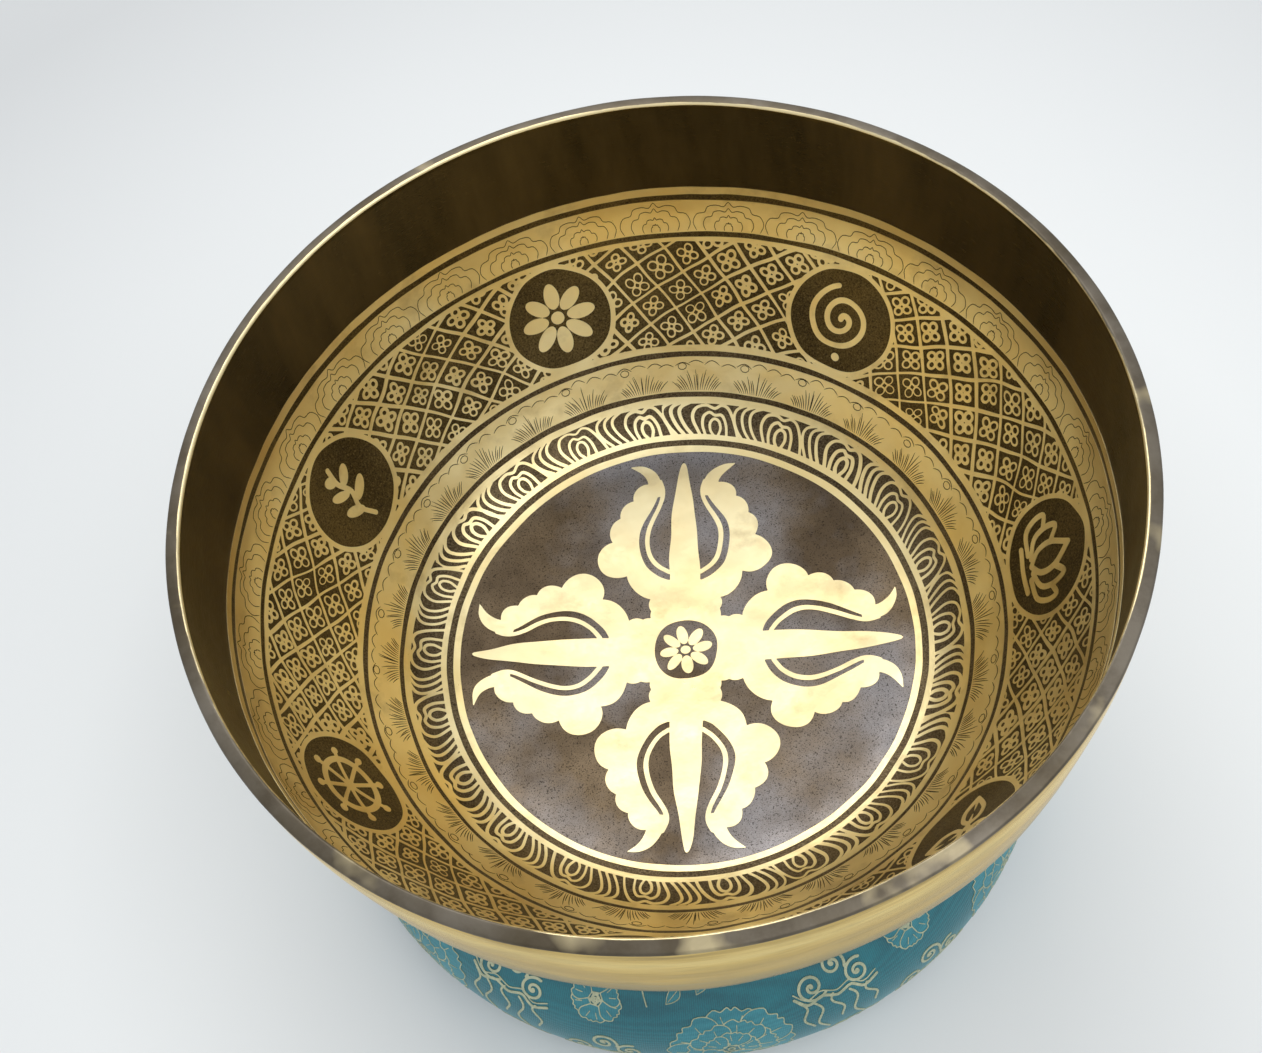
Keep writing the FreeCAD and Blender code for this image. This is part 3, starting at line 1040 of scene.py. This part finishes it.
def add_hairlines(name, lines):
    """All the hairlines of a band as one piece of thin closed strips set in the metal."""
    points, faces = [], []
    start = 0
    for line in lines:
        left, right = ribbon(line)
        n = len(line)
        corners = [inside_point(*edge.T, lift) for lift in HAIR_LIFTS for edge in (left, right)]
        points += corners
        for i in range(n - 1):
            a, b, c, d = (start + k * n + i for k in range(4))
            faces += [(p, p + 1, q + 1, q) for p, q in ((b, a), (c, d), (a, c), (d, b))]
        a, b, c, d = (start + k * n for k in range(4))
        faces += [(a, c, d, b), (b + n - 1, d + n - 1, c + n - 1, a + n - 1)]
        start += 4 * n
    add_piece(name, np.concatenate(points), faces, [HAIRLINE], "bowl")


def on_ring(points, centre, radius, base):
    """Local points (across, up) of a motif, placed at an azimuth of the unrolled inside."""
    across, up = np.array(points, float).T
    return polar(base + up, centre + across / radius)


def cloud_arch(width, height):
    """A scalloped arch with a pointed top."""
    side = [(-0.98, 0), (-1.08, 0.28), (-0.96, 0.56), (-0.72, 0.62), (-0.62, 0.82), (-0.36, 0.88),
            (-0.14, 0.83), (0, 1.0)]
    return spline(mirrored([(x * width, y * height) for x, y in side]), 3)


def make_cloud_lines():
    base, radius, count = 174.8, 142.0, 32
    random = np.random.default_rng(21)
    lines = []
    for index in range(count):
        centre = (index + 0.3) * TURN / count
        for width, height in ((1.5, 3.6), (4.9, 6.4), (8.7, 9.9), (12.3, 12.6)):
            arch = cloud_arch(width * random.uniform(0.94, 1.06), height * random.uniform(0.96, 1.03))
            lines.append(on_ring(arch, centre, radius, base))
    add_hairlines("cloud_lines", lines)


def grass_tuft(random):
    """Short blades that fan out from one root."""
    blades = []
    for side in (-1, 1):
        for step in range(9):
            foot = side * (0.12 + 0.86 * step)
            lean = side * (0.05 + 0.085 * step) + random.uniform(-0.10, 0.10)
            length = (8.8 - 0.62 * step) * random.uniform(0.70, 1.12)
            blade = [(foot + lean * length * t * (0.7 + 0.5 * t), length * t) for t in (0, 0.35, 0.7, 1.0)]
            blades.append(blade)
    return blades


def make_grass_lines():
    base, radius, count = 109.3, 113.0, 29
    random = np.random.default_rng(22)
    lines = []
    for index in range(count):
        centre = (index + 0.15) * TURN / count + random.uniform(-0.006, 0.006)
        lines += [on_ring(blade, centre, radius, base) for blade in grass_tuft(random)]
        curl = np.linspace(0.3, TURN + 0.9, 11)
        curl = np.stack([1.7 * np.cos(curl) + 6.0, 1.35 * np.sin(curl) + 9.7], -1)
        lines.append(on_ring(curl * (1, random.uniform(0.94, 1.04)), centre, radius, base))
        for scallop in range(4):
            left = -9.0 + 6.1 * scallop + random.uniform(-0.4, 0.4)
            rise = random.uniform(1.1, 1.9)
            foot = 10.4 + 1.6 * math.sin(scallop * 1.7) * 0.4
            arc = [(left + 6.0 * t, foot + rise * math.sin(math.pi * t)) for t in np.linspace(0, 1, 7)]
            lines.append(on_ring(arc, centre, radius, base))
    add_hairlines("grass_lines", lines)


make_floor_ornament()
make_petal_ring()
make_lattice()
make_plain_bands()
make_cloud_lines()
make_grass_lines()


# ---------------------------------------------------------------- the cushion: simulated cloth

# The cover is a grid of points: rows go round the stuffed tube, from its outermost line upwards, over
# the top and down the hole, and columns go round the ring. The same grid lays out the brocade.
CUSHION_CENTRE = np.array([-4.5, -8.0])  # the bowl stands a little off the cushion's middle
TUBE_RADIUS, TUBE_HEIGHT = 96.0, 31.0
TUBE_HALF_WIDTH, TUBE_HALF_HEIGHT = 37.5, 34.6
CLOTH_ROWS, CLOTH_COLUMNS = 80, 288
CLOTH_FRAMES = 24
CLOTH_SETTINGS = {
    "quality": 6, "mass": 0.15, "tension_stiffness": 30, "compression_stiffness": 12, "shear_stiffness": 8,
    "bending_stiffness": 0.25, "air_damping": 2, "use_pressure": True, "uniform_pressure_force": 6,
}
CLOTH_CAP = 6.0  # the furthest that a point of the cloth may move
GATHERS, GATHER_DEPTH = 46, 1.5  # folds round the hole that the simulation starts from
SPARE_CLOTH = 17.0  # how much wider the cloth was cut than the hole that it is drawn into
CLOTH_REACH = TUBE_RADIUS + TUBE_HALF_WIDTH  # pattern places are in millimetres along this circle


def tube_angles():
    """Angles of an ellipse's points spaced evenly along it, and its length."""
    fine = np.linspace(0, TURN, 2000)
    step = np.hypot(TUBE_HALF_WIDTH * np.diff(np.cos(fine)), TUBE_HALF_HEIGHT * np.diff(np.sin(fine)))
    length = np.concatenate([[0], np.cumsum(step)])
    return np.interp(np.arange(CLOTH_ROWS) * length[-1] / CLOTH_ROWS, length, fine), length[-1]


TUBE_ANGLES, TUBE_LENGTH = tube_angles()


def underside_height(radial):
    """The height of the bowl's underside above the floor, at distances from the bowl's axis."""
    runs = np.linspace(0, SHOULDER_RUN, 200)
    return np.interp(radial, *profile_at(OUTSIDE, runs)[:2])


def ring_of_cloth(extra_radius, gather_depth):
    """The cloth's points before the simulation."""
    angle = TUBE_ANGLES[:, None]
    azimuth = (np.arange(CLOTH_COLUMNS) * TURN / CLOTH_COLUMNS)[None]
    inner = np.clip(0.15 - np.cos(angle), 0, 1) ** 1.3
    circle = polar(60, azimuth)
    phase = GATHERS * azimuth + 1.5 * waves(31, 10, 25, 90)(circle)
    fold = np.sin(phase) + 0.35 * np.sin(2 * phase + 1) + 0.3 * waves(32, 10, 12, 40)(circle)
    push = gather_depth * inner * fold
    radial = TUBE_RADIUS + (TUBE_HALF_WIDTH + push) * np.cos(angle) + extra_radius * inner
    height = TUBE_HEIGHT + (TUBE_HALF_HEIGHT + push) * np.sin(angle)
    level = CUSHION_CENTRE + polar(radial, azimuth)
    height = np.clip(height, 0.8, underside_height(np.linalg.norm(level, axis=-1)) - 1.2)
    return np.concatenate([level, height[..., None]], -1)


def add_collider(mesh):
    collider = new_object(mesh.name, mesh)
    collider.modifiers.new("collision", "COLLISION")
    collider.collision.thickness_outer = 0.0004
    collider.collision.thickness_inner = 0.004
    collider.collision.cloth_friction = 8
    return collider


def simulated_cloth():
    """Blows the cover up between the floor and the bowl. It was cut wider than its hole, so it gathers."""
    start = ring_of_cloth(0, GATHER_DEPTH)
    cut = ring_of_cloth(SPARE_CLOTH, 0)
    mesh = new_mesh("cloth", start.reshape(-1, 3), grid_faces(CLOTH_ROWS, CLOTH_COLUMNS))
    cloth = new_object("cloth", mesh)
    cloth.shape_key_add(name="Basis")
    rest = cloth.shape_key_add(name="cut")
    rest.data.foreach_set("co", (cut * MM).ravel())
    modifier = cloth.modifiers.new("cloth", "CLOTH")
    for key, value in CLOTH_SETTINGS.items():
        setattr(modifier.settings, key, value)
    modifier.settings.rest_shape_key = rest
    modifier.settings.effector_weights.gravity = 0
    modifier.collision_settings.collision_quality = 3
    modifier.collision_settings.distance_min = 0.0008

    runs = np.linspace(0, SHOULDER_RUN, 70)
    radial, height, _ = profile_at(OUTSIDE, runs)
    skin = np.stack([radial, height + 1.1], -1)[1:]
    profile = np.concatenate([[[0, height[0] + 5]], skin, [[0, 140]]])
    above = add_collider(new_mesh("underside_collider", *revolved(profile, 96)))
    below = add_collider(square_mesh("floor_collider", 300.0, -1.5))

    scene = bpy.context.scene
    scene.frame_start, scene.frame_end = 1, CLOTH_FRAMES
    for number in range(1, CLOTH_FRAMES + 1):
        scene.frame_set(number)
    graph = bpy.context.evaluated_depsgraph_get()
    result = np.empty(start.size)
    cloth.evaluated_get(graph).data.vertices.foreach_get("co", result)
    moved = result.reshape(start.shape) / MM - start
    for used in (cloth, above, below):
        bpy.data.objects.remove(used)
    scene.frame_set(1)
    length = np.linalg.norm(moved, axis=-1, keepdims=True)
    return start + moved * np.minimum(1, CLOTH_CAP / np.maximum(length, 1e-9))


def doubled(grid, axis):
    """The grid, closed on itself, with a smooth point added between every two along an axis."""
    before, after, beyond = (np.roll(grid, shift, axis) for shift in (1, -1, -2))
    middle = (9 * (grid + after) - before - beyond) / 16
    shape = list(grid.shape)
    shape[axis] *= 2
    return np.stack([grid, middle], axis + 1).reshape(shape)


def grid_normals(grid):
    across = np.roll(grid, -1, 1) - np.roll(grid, 1, 1)
    along = np.roll(grid, -1, 0) - np.roll(grid, 1, 0)
    return unit(np.cross(across, along))


SEAM_PLACE = TUBE_LENGTH * 205 / 360  # the closing seam, below the middle of the hole
END_SEAM = CLOTH_REACH * TURN / 4  # where the ends of the cloth are joined, at the back
RING_STITCHES = 80
FLOOR_GAP = 0.35  # leaves room for the brocade's threads under the cushion


def sewn(grid):
    """The seams pull the cloth in and pucker it."""
    rows, columns = grid.shape[:2]
    place = (np.arange(rows) * TUBE_LENGTH / rows)[:, None]
    azimuth = (np.arange(columns) * TURN / columns)[None]
    from_seam = place - SEAM_PLACE
    hole_radius = TUBE_RADIUS - TUBE_HALF_WIDTH
    tug = np.cos(azimuth * RING_STITCHES - from_seam / hole_radius * 0.7 * RING_STITCHES / 2)
    push = -1.3 * np.exp(-(from_seam / 1.7) ** 2) - 0.4 * (1 + tug) * np.exp(-(from_seam / 3.6) ** 2)
    radial = np.linalg.norm(grid[..., :2] - CUSHION_CENTRE, axis=-1)
    from_end = (azimuth - END_SEAM / CLOTH_REACH) * radial
    pucker = np.sin(place * TURN / 7.5) + 0.6 * np.sin(place * TURN / 12.3 + 1)
    push = push - 1.0 * np.exp(-(from_end / 1.2) ** 2) + 0.32 * pucker * np.exp(-np.abs(from_end) / 5.5)
    grid = grid + grid_normals(grid) * push[..., None]
    grid[..., 2] = np.maximum(grid[..., 2], FLOOR_GAP)
    return grid


CLOTH = simulated_cloth()
COVER = sewn(doubled(doubled(CLOTH, 0), 1))
COVER_NORMALS = grid_normals(COVER)


def cover_point(x, y, lift):
    """A point of the cover. x is the distance round its outermost line, y the distance up from it."""
    rows, columns = COVER.shape[:2]
    place = x / (CLOTH_REACH * TURN) * columns, y / TUBE_LENGTH * rows
    return between(COVER, *place) + between(COVER_NORMALS, *place) * np.asarray(lift)[..., None]


# ---------------------------------------------------------------- the cushion: fabric and thread

def fabric(name, dark, light, rough, ribs, sheen=0.18, metallic=0.0, coat=(0.4, 0.9, 1.0)):
    """A woven surface: fine ribs up the outside crossed by fainter ones, uneven dye and a soft sheen."""
    n = Nodes(name)
    turn = n.math("ARCTAN2", n.axis("Y"), n.axis("X"))
    warp = n.math("SINE", n.math("MULTIPLY", turn, float(ribs)))
    weft = n.math("SINE", n.math("MULTIPLY", n.math("ADD", n.radius(), n.axis("Z")), 7400.0))
    threads = n.math("ADD", n.weighed(warp, 0.30, weft, 0.18), n.noise(1400, 2, 0.6))
    dye = n.noise(45, 4, 0.55)
    colour = n.tint(dark, n.weighed(threads, 0.45, dye, 0.55), 0.25, 0.75, light)
    normal = n.bump(threads, 0.30, 0.00022)
    normal = n.bump(n.noise(130, 3), 0.12, 0.0012, normal)
    return n.set(Base_Color=colour, Metallic=metallic, Roughness=rough, Normal=normal,
                 Sheen_Weight=sheen, Sheen_Tint=coat, Sheen_Roughness=0.4, Specular_IOR_Level=0.55)


SATIN = fabric("turquoise_satin", (0.003, 0.085, 0.112), (0.008, 0.165, 0.200), 0.38, 1150)
PETAL_SILK = fabric("pale_blue_silk", (0.012, 0.150, 0.190), (0.038, 0.245, 0.290), 0.46, 1400)
GOLD_THREAD = fabric("pale_gold_thread", (0.25, 0.29, 0.19), (0.54, 0.56, 0.37), 0.42, 1900, 0.1, 0.25,
                     (1.0, 0.95, 0.8))
SEWING = fabric("turquoise_thread", (0.006, 0.110, 0.140), (0.030, 0.260, 0.310), 0.6, 2600)
BATTING = fabric("cotton_batting", (0.55, 0.53, 0.47), (0.80, 0.78, 0.72), 0.95, 900, 0.3, 0.0, (1, 1, 1))


def make_cover():
    points = COVER.reshape(-1, 3)
    cover = add_piece("brocade_cover", points, grid_faces(*COVER.shape[:2]), [SATIN], "cushion",
                      sharp=180)
    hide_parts("cushion_cover")


def make_filling():
    """The batting: a little smaller than the cover, without its folds, and lumpy."""
    smooth = CLOTH[::2]
    for _ in range(6):
        smooth = (np.roll(smooth, 2, 1) + 2 * smooth + np.roll(smooth, -2, 1)) / 4
    smooth = smooth[:, ::2]
    lumps = 0.5 * waves(41, 16, 12, 40)(smooth)
    points = smooth - grid_normals(smooth) * (3.2 + lumps)[..., None]
    filling = add_piece("batting", points.reshape(-1, 3), grid_faces(*points.shape[:2]), [BATTING],
                        "cushion", sharp=180)
    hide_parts("cushion_filling")


THREAD_RADIUS = 0.38
THREAD_SIDES = 8
STITCH_POINTS = 7


def add_stitches(name, ends, node):
    """Short threads that come up out of the cover and go back down into it. ends are plane places."""
    share = np.linspace(0, 1, STITCH_POINTS)
    round_angle = (np.arange(THREAD_SIDES) * TURN / THREAD_SIDES)[None]
    thick = np.array([0.55] + [1.0] * (STITCH_POINTS - 2) + [0.55])[:, None]
    points, faces = [], []
    for (x0, y0), (x1, y1) in ends:
        x, y = x0 + (x1 - x0) * share, y0 + (y1 - y0) * share
        lift = 0.85 * np.sin(math.pi * share) ** 0.6 - 0.35
        line = cover_point(x, y, lift)
        ahead = unit(np.gradient(line, axis=0))
        side = unit(np.cross(ahead, cover_point(x, y, lift + 1) - line))
        up = np.cross(side, ahead)
        ring = side[:, None] * np.cos(round_angle)[..., None] + up[:, None] * np.sin(round_angle)[..., None]
        start = sum(len(block) for block in points)
        points.append((line[:, None] + ring * (THREAD_RADIUS * thick)[..., None]).reshape(-1, 3))
        number = start + np.arange(STITCH_POINTS * THREAD_SIDES).reshape(STITCH_POINTS, THREAD_SIDES)
        faces += tube_faces(number) + [number[0, ::-1].tolist(), number[-1].tolist()]
    piece = add_piece(name, np.concatenate(points), faces, [SEWING], "cushion", sharp=60)
    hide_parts(node)


def make_stitches():
    pitch = CLOTH_REACH * TURN / RING_STITCHES
    ring = [((i * pitch, SEAM_PLACE - 1.5), ((i + 0.55) * pitch, SEAM_PLACE + 1.5))
            for i in range(RING_STITCHES)]
    add_stitches("closing_stitches", ring, "ring_seam_thread")
    spans = ((-54, 72), (148, 196), (214, 232))
    places = [TUBE_LENGTH * turn / 360 for low, high in spans for turn in range(low, high, 6)]
    end = [((END_SEAM - 1.6, y), (END_SEAM + 1.6, y + 1.0)) for y in places]
    add_stitches("end_stitches", end, "end_seam_thread")


# ---------------------------------------------------------------- the cushion: brocade

# Each motif is drawn once as two signed-distance grids, pale blue silk and gold thread, and laid on
# the cover many times.
MOTIF_STEP = 0.25
MOTIF_TOLERANCE = 0.03
GOLD_LINE = 0.34
SILK_LIFTS, GOLD_LIFTS = (0.10, -0.30), (0.22, -0.34)


class Motif:
    """Silk areas and gold lines, each drawn thing covering what lies under it."""

    def __init__(self, reach):
        self.reach = reach
        self.x, self.y = square_grid(reach, MOTIF_STEP)
        self.silk = np.full(self.x.shape, 1e3)
        self.gold = np.full(self.x.shape, 1e3)

    def leaf(self, outline, veins=()):
        """An area of silk edged in gold, with gold veins."""
        distance = area_distance(self.x, self.y, outline)
        edge = np.abs(distance) - GOLD_LINE / 2
        self.gold = np.where(distance < 0, edge, np.minimum(self.gold, edge))
        self.silk = np.minimum(self.silk, distance)
        for vein in veins:
            self.line(vein, GOLD_LINE * 0.85)

    def line(self, points, width):
        self.gold = np.minimum(self.gold, segment_distance(self.x, self.y, points) - width / 2)

    def dot(self, x, y, radius, width=None):
        distance = np.hypot(self.x - x, self.y - y) - radius
        self.gold = np.minimum(self.gold, np.abs(distance) - width / 2 if width else distance)

    def traced(self, values):
        return triangulated(*traced(values, self.reach, MOTIF_STEP, MOTIF_TOLERANCE))


def turned(points, angle, scale=1.0, shift=(0, 0)):
    points = np.array(points, float) * scale
    c, s = math.cos(angle), math.sin(angle)
    return points @ np.array([[c, s], [-s, c]]) + shift


def petal(inner, outer, width, angle, shift=(0, 0)):
    """A scalloped petal's outline and two short veins."""
    side = [(-0.30, 0.0), (-0.92, 0.36), (-1.0, 0.70), (-0.70, 0.95), (-0.40, 0.90), (-0.16, 1.02),
            (0, 0.94)]
    half, length = width / 2, outer - inner
    outline = spline(mirrored([(px * half, inner + py * length) for px, py in side]), 3)
    veins = [[(s * half * 0.22, inner + 0.42 * length), (s * half * 0.42, inner + 0.78 * length)]
             for s in (-1, 1)]
    return turned(outline, angle, shift=shift), [turned(vein, angle, shift=shift) for vein in veins]


def peony(size, layers, seed):
    motif = Motif(size + 3)
    random = np.random.default_rng(seed)
    for count, inner, outer, width in layers:
        first = random.uniform(0, TURN)
        for index in range(count):
            angle = first + (index + random.uniform(-0.12, 0.12)) * TURN / count
            reach = outer * random.uniform(0.92, 1.06)
            motif.leaf(*petal(inner * size, reach * size, width * size * random.uniform(0.92, 1.1), angle))
    for index in range(9):
        angle = index * TURN / 9
        reach = size * (0.13 if index % 2 else 0.19)
        motif.dot(reach * math.cos(angle), reach * math.sin(angle), 0.55)
    motif.dot(0, 0, size * 0.05, 0.5)
    return motif


def spray(seed):
    """A curved stem with pointed leaves."""
    motif = Motif(26)
    random = np.random.default_rng(seed)
    stem = spline([(-17, -8), (-9, -2), (0, 1), (9, 0), (17, 5)], 6)
    motif.line(stem, 0.7)
    for index, side in ((5, 1), (9, -1), (13, 1), (17, -1), (21, 1)):
        x, y = stem[index]
        angle = side * math.radians(random.uniform(30, 48)) - math.pi / 2
        length, width = random.uniform(8, 10.5), random.uniform(1.8, 2.3)
        half = [(0, 0), (-width, 0.32 * length), (-width * 0.8, 0.66 * length), (0, length)]
        outline = [*spline(half, 4), *spline([(-px, py) for px, py in half[::-1]], 4)]
        rib = [(0, 0.1 * length), (0, 0.85 * length)]
        motif.leaf(turned(outline, angle, shift=(x, y)), [turned(rib, angle, shift=(x, y))])
    return motif


def cloud_scroll():
    """Gold curls with trailing streamers, in place of the figured gold work of the real brocade."""
    motif = Motif(21)
    turns = np.linspace(0.6, 3.7 * math.pi, 60)
    curl = polar(0.40 * turns, turns)
    curls = ((-7.5, 5, 0.2, 1.15, 1), (1.5, 9.5, 1.6, 0.95, -1), (8.5, 3.5, 3.3, 1.0, -1))
    for x, y, angle, scale, flip in curls:
        curled = turned(curl * (flip, 1), angle, scale, (x, y))
        motif.line(curled, 0.95)
        motif.dot(x, y, 0.7)
    tails = ((-12.5, 0.5, 1.0, 13), (-8.0, -1.2, 1.2, 16), (-1.5, -0.2, -1.0, 12),
             (4.0, -1.6, 1.1, 17), (10.0, -2.5, -1.0, 11))
    for x, y, sway, length in tails:
        tail = [(x + sway * 1.5 * math.sin(t * 7.5) * (1 - 0.4 * t) + 2.0 * t, y - length * t)
                for t in np.linspace(0, 1, 26)]
        motif.line(tail, 0.75)
    base = [(-14, 2.5), (-10, -1), (-5, 0.6), (0, -1.4), (5, 0), (9, -3.2), (14, -1.5)]
    motif.line(spline(base, 5), 1.0)
    motif.line(spline([(x, y + 1.9) for x, y in base], 5), 0.45)
    return motif


def motif_slab(name, placed, lifts, material):
    """One piece of many copies of traced motifs. placed are (points, triangles, x, y, angle, size)."""
    planes, parts, start = [], [], 0
    for plane, triangles, x, y, angle, size in placed:
        planes.append(turned(plane, angle, size, (x, y)))
        parts.append(triangles + start)
        start += len(plane)
    add_slab(name, np.concatenate(planes), np.concatenate(parts), cover_point, lifts, material,
             "cushion")


BROCADE_REPEATS = 7
BROCADE_UNIT = [  # motif, place across and up in a repeat, turn, size
    ("peony", 24, 4, 0.3, 1.08), ("small", 68, -19, 1.4, 1.1), ("bud", 45, -27, 0.8, 1.1),
    ("bud", 97, 27, 2.0, 1.15), ("scroll", 64, 19, 0.0, 1.1), ("scroll", 101, -4, 0.25, 1.1),
    ("scroll", 22, -44, 3.0, 0.85), ("scroll", 92, -44, 2.8, 0.8), ("spray", 5, -25, 0.5, 0.85),
    ("spray", 20, 39, 3.4, 0.95), ("spray", 80, 44, 0.2, 0.9), ("spray", 57, -47, 0.1, 0.9),
    ("bud", 50, 45, 0.1, 0.9), ("spray", 115, 40, 1.2, 0.7), ("bud", 113, -27, 1.1, 0.8),
]


def make_brocade():
    wide = [(7, 0.28, 1.0, 0.88), (6, 0.20, 0.72, 0.70), (5, 0.12, 0.46, 0.50)]
    narrow = [(6, 0.26, 1.0, 0.98), (5, 0.12, 0.62, 0.68)]
    motifs = {"peony": peony(20.5, wide, 51), "small": peony(14.5, narrow, 52),
              "bud": peony(8.0, narrow[:1], 53), "spray": spray(54), "scroll": cloud_scroll()}
    shapes = {}
    for key, motif in motifs.items():
        shapes[key, "gold"] = motif.traced(motif.gold)
        if motif.silk.min() < 0:
            shapes[key, "silk"] = motif.traced(motif.silk)
    pitch = CLOTH_REACH * TURN / BROCADE_REPEATS
    for level, (middle, offset) in enumerate(((0.0, 0.0), (TUBE_LENGTH / 2, 0.5))):
        for kind, lifts, material in (("silk", SILK_LIFTS, PETAL_SILK), ("gold", GOLD_LIFTS, GOLD_THREAD)):
            for part in range(3):
                placed = []
                for repeat in range(part, BROCADE_REPEATS, 3):
                    for key, x, y, angle, size in BROCADE_UNIT:
                        if (key, kind) in shapes:
                            place = ((repeat + offset) * pitch + x, middle + y)
                            placed.append((*shapes[key, kind], *place, angle, size))
                motif_slab(f"brocade_{kind}_{level + 1}_{part + 1}", placed, lifts, material)


make_cover()
make_filling()
make_stitches()
make_brocade()


# ---------------------------------------------------------------- camera, floor and light

def place_camera():
    """The camera looks down into the bowl, turned a little about its own axis."""
    distance, elevation = 483.6, 0.995
    yaw, pitch, roll = 0.0188, -0.0395, -0.1919
    s, c = math.sin(elevation), math.cos(elevation)
    basis = Matrix(((1, 0, 0), (0, s, -c), (0, c, s))).to_4x4()
    turn = Matrix.Rotation(pitch, 4, "X") @ Matrix.Rotation(yaw, 4, "Y") @ Matrix.Rotation(roll, 4, "Z")
    back = Vector((0, -c, s)) * distance
    camera = new_object("camera", bpy.data.cameras.new("camera"))
    camera.data.lens = 45.68
    camera.data.sensor_width = 36
    camera.data.clip_start = 0.01
    camera.data.clip_end = 50
    place = Vector((0, 0, RIM_HEIGHT)) + back
    camera.matrix_world = Matrix.Translation(place * MM) @ basis @ turn
    bpy.context.scene.camera = camera


def add_light(name, place, target, size, power, colour=(1, 1, 1)):
    data = bpy.data.lights.new(name, "AREA")
    data.shape = "RECTANGLE"
    data.size, data.size_y = size
    data.energy = power
    data.color = colour
    light = new_object(name, data)
    light.location = place
    light.rotation_euler = (Vector(target) - Vector(place)).to_track_quat("-Z", "Y").to_euler()


def make_stage():
    n = Nodes("floor_paper_painted_shade")
    # The floor's tone by distance from the bowl is painted shade: lighter near the bowl, darker in a ring
    # round it, lighter again far off.
    place = n.weighed(n.noise(3, 2), 0.04, n.radius())
    shade = n.ramp(place, [(0.28, (0.78, 0.795, 0.79)), (0.56, (0.56, 0.57, 0.57)),
                           (0.84, (0.57, 0.58, 0.58)), (1.0, (0.88, 0.89, 0.89))])
    n.set(Base_Color=shade, Roughness=0.75)
    mesh = square_mesh("floor", 30000.0, 0)
    mesh.materials.append(n.material)
    new_object("floor", mesh)
    world = bpy.data.worlds.new("studio")
    world.use_nodes = True
    background = world.node_tree.nodes["Background"]
    background.inputs["Color"].default_value = (0.93, 0.96, 1.0, 1)
    background.inputs["Strength"].default_value = 0.86
    bpy.context.scene.world = world
    add_light("window", (-0.1, 1.35, 1.5), (0, 0, 0.1), (1.3, 1.0), 11, (1.0, 0.985, 0.96))
    add_light("overhead", (0.7, -0.5, 1.6), (0, 0, 0.1), (1.2, 1.2), 8)
    bpy.context.scene.view_settings.view_transform = "Standard"


place_camera()
make_stage()
